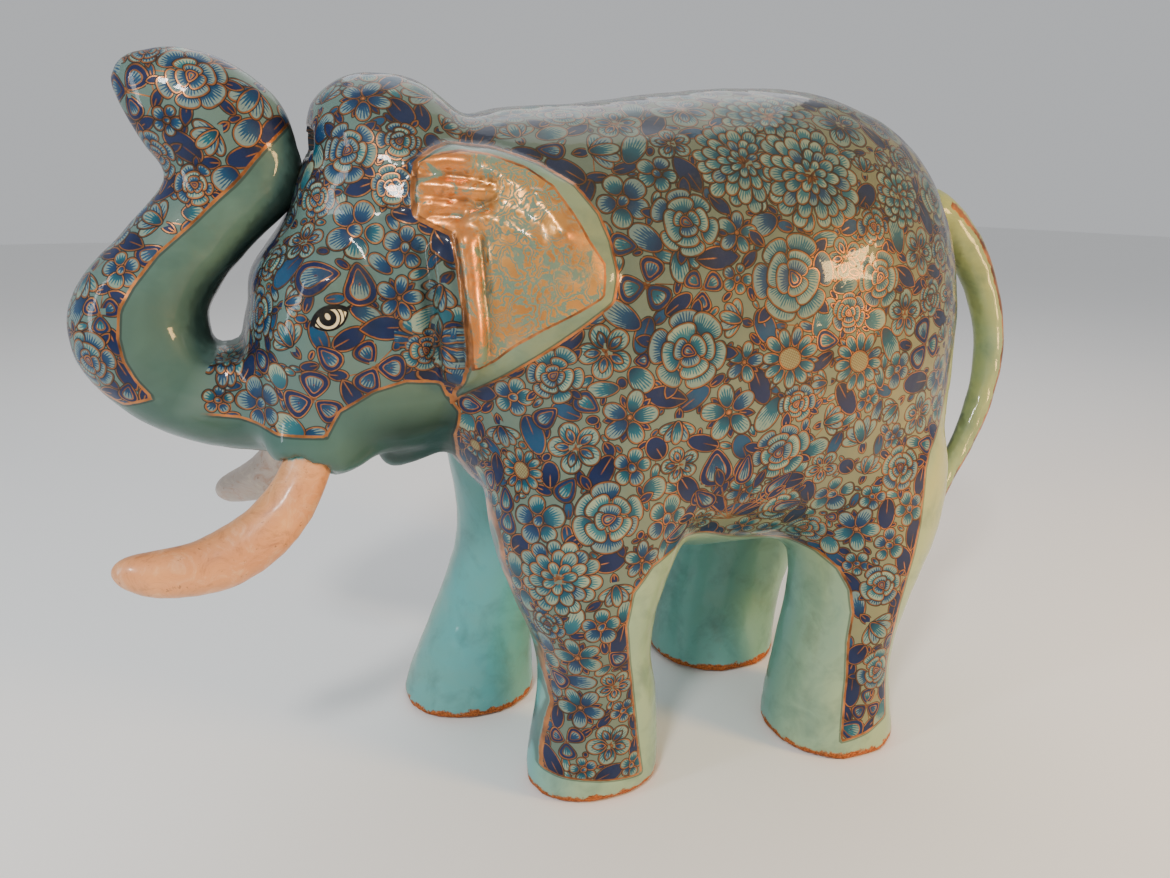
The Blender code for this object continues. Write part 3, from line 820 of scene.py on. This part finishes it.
def paint_material():
    """Painted and lacquered papier-mache."""
    mat, tree, shader = new_material("painted_paper")
    where, place = coordinates(tree)
    x, y, z = place
    pattern, gold, ear, lined = channels(tree, "zones")
    tail_line, hollow_shade, worn, _ = channels(tree, "places")
    fine = cloud(tree, where, 900, 2)
    grain = cloud(tree, where, 260, 2).over(0.5, 0.5)
    patch = cloud(tree, where, 45, 4, 0.6, 0.4)

    # Grounds: a hard edge where the field is lined, a soft one where it isn't.
    edge = (pattern / ((1 - lined) * 12 + 0.2) + 0.5).clamp()
    # the ground comes with the mask of the painted shade under the chin
    colour, chin_shade = ground_paint(tree, where, place, patch, edge)
    gilded = gold.over(0.0)
    leafed, gold_paint = gilding(tree, where, place, patch)
    leafed = gilded * leafed
    colour = mix(tree, gilded, colour, linear(104, 122, 102))
    colour = mix(tree, leafed, colour, gold_paint)
    metal = leafed * 0.75

    # Flowers, the lowest strokes first.
    copper = mix(tree, cloud(tree, where, 75, 3).over(0.47, 0.3), COPPER_PAINT, BROWN_PAINT)
    group = stroke_group()
    clip = pattern.over(0.5)
    for k in reversed(range(LAYERS)):
        layer = tree.nodes.new("ShaderNodeAttribute")
        layer.attribute_name = f"stroke_{k}"
        step = tree.nodes.new("ShaderNodeGroup")
        step.node_tree = group
        values = (layer.outputs["Color"], layer.outputs["Alpha"],
                  colour.out, metal.out, grain.out, clip.out, copper.out)
        for socket, value in zip(step.inputs, values):
            tree.links.new(value, socket)
        colour, metal = Sock(tree, step.outputs[0]), Sock(tree, step.outputs[1])

    # The varnish has darkened over the flowers, most along the back.
    back = z.over(285, 110) * x.over(-120, 70) * clip
    colour = mix(tree, back * 0.42, colour, linear(58, 56, 34))
    colour = mix(tree, edge * 0.26, colour, linear(24, 32, 36))

    # Border lines of the fields and the tail.
    wobble = (grain - 0.5) * 0.3
    border = (pattern.abs() + wobble).over(0.62, -0.25) * lined
    border = border.max((gold.abs() + wobble).over(0.6, -0.25))
    border = border.max((ear.abs() + wobble).over(0.75, -0.25) * lined)
    border = border.max((tail_line.abs() + wobble * 4).over(2.2, -0.4))
    shade = (pattern + 1.2).abs().over(0.5, -0.4) * lined
    colour = mix(tree, shade * 0.6, colour, INK)
    colour = mix(tree, border, colour, copper)
    metal = blend(tree, border, metal, 0.7)
    colour, metal = painted_eye(tree, place, colour, metal)

    # Frayed copper line round the foot rims, bare paper on the soles, and painted shade in the mouth, the
    # hollows and the grooves.
    ragged = cloud(tree, where, 120, 4, 0.7)
    rim = (z - ragged * 13).over(-0.5, -1.2)
    rust = mix(tree, fine.over(0.5, 0.3), linear(196, 112, 58), linear(108, 58, 32))
    colour = mix(tree, rim, colour, rust)
    metal = blend(tree, rim, metal, 0.35)
    colour = mix(tree, z.over(0.5, -0.5), colour, linear(150, 128, 98))
    colour = mix(tree, hollow_shade * 0.75, colour, linear(26, 40, 38))

    # Dirt all over and scuffs on the legs.
    dirt = cloud(tree, where, 34, 6, 0.7).over(0.66, 0.16)
    colour = mix(tree, dirt * 0.25, colour, linear(88, 84, 66))
    scuff = cloud(tree, where, 420, 3, 0.8).over(0.72, 0.05) * worn
    colour = mix(tree, scuff * 0.7, colour, linear(196, 176, 140))

    # Lacquer over the paint, dull on the rims and under the chin.
    rough = blend(tree, metal, 0.42, 0.3) + (fine - 0.5) * 0.12
    rough = blend(tree, rim, rough, 0.75)
    coat = (1 - rim * 0.9) * (1 - chin_shade * 0.8) * 0.6
    shader.inputs["Specular IOR Level"].default_value = 0.12
    shader.inputs["Coat Roughness"].default_value = 0.045
    shader.inputs["Coat IOR"].default_value = 1.34
    tree.links.new(colour.out, shader.inputs["Base Color"])
    tree.links.new(metal.out, shader.inputs["Metallic"])
    tree.links.new(rough.out, shader.inputs["Roughness"])
    tree.links.new(coat.out, shader.inputs["Coat Weight"])
    height = cloud(tree, where, 95, 2, 0.4) + cloud(tree, where, 700, 2) * 0.03
    normal = bump_of(tree, height, 0.35, 0.0011)
    tree.links.new(normal, shader.inputs["Normal"])
    tree.links.new(normal, shader.inputs["Coat Normal"])
    return mat


def tusk_material(side):
    """Painted ivory with scuffs, and a ragged edge of teal paint at the root."""
    mat, tree, shader = new_material(f"tusk_paint_{side}")
    where, (_, _, z) = coordinates(tree)
    wash = cloud(tree, where, 22, 4, 0.6)
    fine = cloud(tree, where, 260, 5, 0.7)
    streak = cloud(tree, where, 75, 6, 0.75, 1.2)
    # the far tusk is painted greyer as painted shade, the near one peach as painted warm light
    light, dull = linear(224, 158, 100), linear(196, 130, 84)
    if side == "right":
        light, dull = linear(196, 176, 160), linear(160, 146, 136)
    colour = mix(tree, wash.over(0.5, 0.4), light, dull)
    colour = mix(tree, streak.over(0.62, 0.2) * 0.35, colour, linear(236, 214, 184))
    colour = mix(tree, streak.over(0.4, -0.14) * 0.55, colour, linear(150, 90, 54))
    colour = mix(tree, fine.over(0.66, 0.06) * 0.7, colour, linear(104, 60, 38))
    root = (z + streak * 9 - 4.5).over(216, 1.2)
    colour = mix(tree, root, colour, linear(92, 150, 142))
    tree.links.new(colour.out, shader.inputs["Base Color"])
    tree.links.new((0.34 + fine * 0.2).out, shader.inputs["Roughness"])
    shader.inputs["Coat Weight"].default_value = 0.3
    shader.inputs["Coat Roughness"].default_value = 0.16
    height = cloud(tree, where, 90, 4, 0.6) + fine * 0.2
    tree.links.new(bump_of(tree, height, 0.5, 0.0006), shader.inputs["Normal"])
    return mat


# --- the figure

def relief(co):
    """Height in mm of the hand-laid paper with its folds, and the depth of the grooves in it."""
    x, y, z = co.T
    soft = lumps(co, 30.0, 1) * 0.8 + lumps(co, 13.0, 2) * 0.34 + lumps(co, 7.0, 3) * 0.12
    side = smooth(36, 48, np.abs(y))
    # rounded edge of the ear, with a groove outside it
    rim = field_distance(x, z, EAR_EDGE)
    soft += side * (smooth(-1.0, 1.6, rim) * 1.2 - smooth(3.5, 0.5, np.abs(rim + 2.5)) * 0.5)
    grooves = np.zeros_like(x)
    for ax, az, bx, bz, wide, high in FOLDS:
        run = np.array([bx - ax, bz - az], float)
        t = np.clip(((x - ax) * run[0] + (z - az) * run[1]) / (run @ run), 0, 1)
        gap = np.hypot(x - ax - t * run[0], z - az - t * run[1])
        fold = side * high * np.exp(-((gap / (0.55 * wide)) ** 2))
        soft += fold
        grooves -= np.minimum(fold, 0)
    # creased upper half of the gilding
    creased = side * smooth(0, 8, field_distance(x, z, EAR_GOLD)) * smooth(285, 330, z)
    soft += creased * (0.55 - np.abs(lumps(co * (1, 1, 1.6), 15.0, 4))) * 1.6
    return soft, grooves


def past_gap(x, z):
    """How far in mm a vertex lies behind the middle of the gap at the forehead, and the closing there."""
    gap_z, gap_x, closing = np.array(TRUNK_GAP, float).T
    return x - np.interp(z, gap_z, gap_x), np.interp(z, gap_z, closing, 0, 0)


def narrowing(co, no):
    """Shift in mm of each vertex that brings forehead and trunk nearly together and opens the eyelet below."""
    x, y, z = co.T
    past, close = past_gap(x, z)
    brow = smooth(40, 12, past) * (past > 0) * smooth(66, 28, np.abs(y)) * 0.62
    bend = smooth(-42, -14, past) * (past < 0) * 0.38
    floor = smooth(20, 6, np.abs(past + 2)) * smooth(258, 270, z) * smooth(300, 284, z)
    sink = floor * smooth(-0.1, 0.5, no[:, 2])
    widen = smooth(262, 274, z) * smooth(304, 290, z) * (past > 0) * smooth(26, 12, past)
    widen = widen * smooth(0, -0.6, no[:, 0])
    across = close * (bend - brow) + 3.5 * widen
    return np.stack([across * (x < -120), 0 * x, -5.5 * sink * (x < -180)], 1)


def painted_zones(co, no, x, y, z):
    """Distances in mm inside the pattern, the gilding and the ear, and how clearly the edges are lined."""
    out = np.abs(y)
    ear = np.where(out > EAR_FROM_Y, field_distance(x, z, EAR_EDGE), -50.0)
    gold = np.where(out > EAR_FROM_Y, field_distance(x, z, EAR_GOLD), -50.0)
    # on the legs the pattern ends where they turn inwards
    top = np.where(y > 0, INNER_TOP_FAR, INNER_TOP_NEAR)
    facing_out = no[:, 1] * np.sign(y) * 22 + np.where(y > 0, -4, 4)
    sides = np.minimum(field_distance(x, z, BODY_FIELD), np.maximum(facing_out, z - top))
    pattern = np.minimum(np.maximum(sides, field_distance(x, z, TRUNK_FIELD)), -ear)
    near_tail = line_distance(co, TAIL_LINE)[0]
    pattern = np.minimum(pattern, np.where(x > TAIL_FROM_X, near_tail - TAIL_PATCH, 50))
    # no line where the trunk grows out of the face, nor in the narrow gap at the forehead
    soft_start = line_distance(np.stack([x, 0 * x, z], 1), TRUNK_ROOT)[0]
    lined = smooth(8, 16, soft_start)
    past = past_gap(x, z)[0]
    lined *= 1 - (np.abs(past) < 12) * smooth(-160, -168, x - 0.2 * (z - 330)) * (z > 284) * (z < 372)
    return pattern, gold, ear, lined


def tail_edge(co, no, x):
    """Distance in mm round the tail from its outer edge, where it turns towards the left flank."""
    near_tail, along, spot = line_distance(co, TAIL_LINE)
    ahead = line_distance(spot + (0, 0, -6), TAIL_LINE)[2] - spot
    outward = np.stack([-ahead[:, 2], 0 * x, ahead[:, 0]], 1)
    outward /= np.linalg.norm(outward, axis=1)[:, None] + 1e-9
    aim = outward * 0.44 + (0, -0.9, 0)
    turned = np.arccos(np.clip((no * aim).sum(1), -1, 1))
    on_tail = (near_tail < 20) & (x > 190) & (along > 38)
    return np.where(on_tail, turned * 9.0, 30.0)


def store(data, name, values):
    """Keep four values of each vertex for the shader, as a colour attribute."""
    layer = data.attributes.new(name, "FLOAT_COLOR", "POINT")
    layer.data.foreach_set("color", np.stack(values, 1).astype(np.float32).ravel())


def body():
    """The figure in one piece: its form with relief, and the painting laid out on it."""
    rng = np.random.default_rng(SEED)
    made = fine_copy(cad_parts["elephant"], "elephant_body", BODY_CELL, BODY_PASSES)
    data = made.data
    co = of_vertices(data, "co") / MM
    no = of_vertices(data, "normal")

    # Relief under the lacquer, calm at the soles, which stay on the floor.
    calm = smooth(1, 8, co[:, 2])
    soft, grooves = relief(co)
    shut = narrowing(co, no)
    co = co + no * (soft * calm - 0.1)[:, None] + shut
    co[:, 2] = np.maximum(co[:, 2], 0)
    set_vertices(data, co * MM)
    co = of_vertices(data, "co") / MM
    no = of_vertices(data, "normal")

    # The fields are drawn on the form as it was before the gap was narrowed.
    x, y, z = (co - shut).T
    pattern, gold, ear, lined = painted_zones(co, no, x, y, z)
    store(data, "zones", [pattern, gold, ear, lined])
    closed = hollows(data, co, no, 45.0)
    # painted shade in the mouth and other hollows that the figure closes over, and along the grooves
    hollow_shade = np.maximum(smooth(0.25, 0.85, closed), smooth(1.0, 3.4, grooves) * 0.8)
    worn = smooth(60, 8, z)
    store(data, "places", [tail_edge(co, no, x), hollow_shade, worn, np.ones_like(x)])

    # Motifs keep off the eyes; their middles are vertices or middles of faces.
    eye = np.hypot((x + 164) / 1.5, z - 287) - 6.5
    room = np.minimum(pattern + 1.5 - 6 * (1 - lined) * (z < 286), np.where(np.abs(y) > EAR_FROM_Y, eye, 50.0))
    quads = np.empty(len(data.polygons) * 4, dtype=np.int64)
    data.polygons.foreach_get("vertices", quads)
    quads = quads.reshape(-1, 4)
    spots = np.concatenate([co, co[quads].mean(1)])
    facings = np.concatenate([no, no[quads].mean(1)])
    placed = place_motifs(rng, spots, facings, np.concatenate([room, room[quads].mean(1)]))
    layers, strokes = stroke_layers(rng, co, no, quads, spots, facings, placed)
    write_layers(data, co, quads, layers, strokes)
    data.materials.append(paint_material())
    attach(made, "root")
    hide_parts("elephant")
    return made


def tusk(side):
    """One tusk, a little uneven."""
    made = fine_copy(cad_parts[f"tusk_{side}"], f"tusk_{side}_fine", TUSK_CELL, TUSK_PASSES)
    data = made.data
    co = of_vertices(data, "co") / MM
    no = of_vertices(data, "normal")
    rough = lumps(co, 14.0, 5) * 0.35 + lumps(co, 5.0, 6) * 0.12 - 0.25
    set_vertices(data, (co + no * rough[:, None]) * MM)
    data.materials.append(tusk_material(side))
    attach(made, "root")
    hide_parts(f"tusk_{side}")
    return made


# --- studio

def floor_material():
    """Pale matt paper."""
    mat, tree, shader = new_material("floor")
    where, _ = coordinates(tree)
    pale = (0.86, 0.86, 0.855)
    wash = cloud(tree, where, 3, 2)
    colour = mix(tree, wash * 0.3, pale, tuple(c * 0.94 for c in pale))
    tree.links.new(colour.out, shader.inputs["Base Color"])
    shader.inputs["Roughness"].default_value = 0.7
    return mat


def lamp(name, place, target, size, energy, colour, tall=None):
    """A rectangular lamp that looks at the target."""
    light = bpy.data.lights.new(name, "AREA")
    light.shape = "RECTANGLE"
    light.size = size
    light.size_y = tall or size
    light.energy = energy
    light.color = colour
    made = bpy.data.objects.new(name, light)
    made.location = place
    made.rotation_euler = (Vector(target) - Vector(place)).to_track_quat("-Z", "Y").to_euler()
    bpy.context.scene.collection.objects.link(made)


def studio():
    """Pale floor, even light all round, and four soft lamps."""
    data = bpy.data.meshes.new("floor")
    data.from_pydata([(-6, -6, 0), (6, -6, 0), (6, 6, 0), (-6, 6, 0)], [], [(0, 1, 2, 3)])
    floor = bpy.data.objects.new("floor", data)
    floor.location = (0, 0, -0.0003)
    bpy.context.scene.collection.objects.link(floor)
    data.materials.append(floor_material())
    world = bpy.data.worlds.new("studio")
    bpy.context.scene.world = world
    world.use_nodes = True
    sky = world.node_tree.nodes["Background"]
    sky.inputs["Color"].default_value = (0.95, 0.97, 1.0, 1)
    sky.inputs["Strength"].default_value = 0.55
    lamp("key", (-0.75, -1.0, 1.25), (-0.02, 0, 0.2), 0.18, 15, (1.0, 0.98, 0.94))
    lamp("top", (0.3, 0.9, 1.6), (0, 0, 0.25), 1.5, 11, (0.95, 0.97, 1.0))
    lamp("warm", (0.86, -0.92, 0.46), (0.12, -0.1, 0.26), 0.26, 16, (1.0, 0.6, 0.2))
    lamp("left", (-1.3, -0.3, 0.6), (-0.1, 0, 0.25), 0.14, 4.5, (0.85, 0.95, 1.0), 0.7)


def camera():
    """The photo's view, from close by on the left."""
    data = bpy.data.cameras.new("camera")
    data.sensor_width = 36
    data.lens = 27.08
    data.clip_start = 0.01
    made = bpy.data.objects.new("camera", data)
    made.location = (-0.2011, -0.4912, 0.3456)
    made.rotation_euler = (math.radians(74), 0, math.radians(-21))
    bpy.context.scene.collection.objects.link(made)
    bpy.context.scene.camera = made


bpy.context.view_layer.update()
body()
tusk("left")
tusk("right")
studio()
camera()
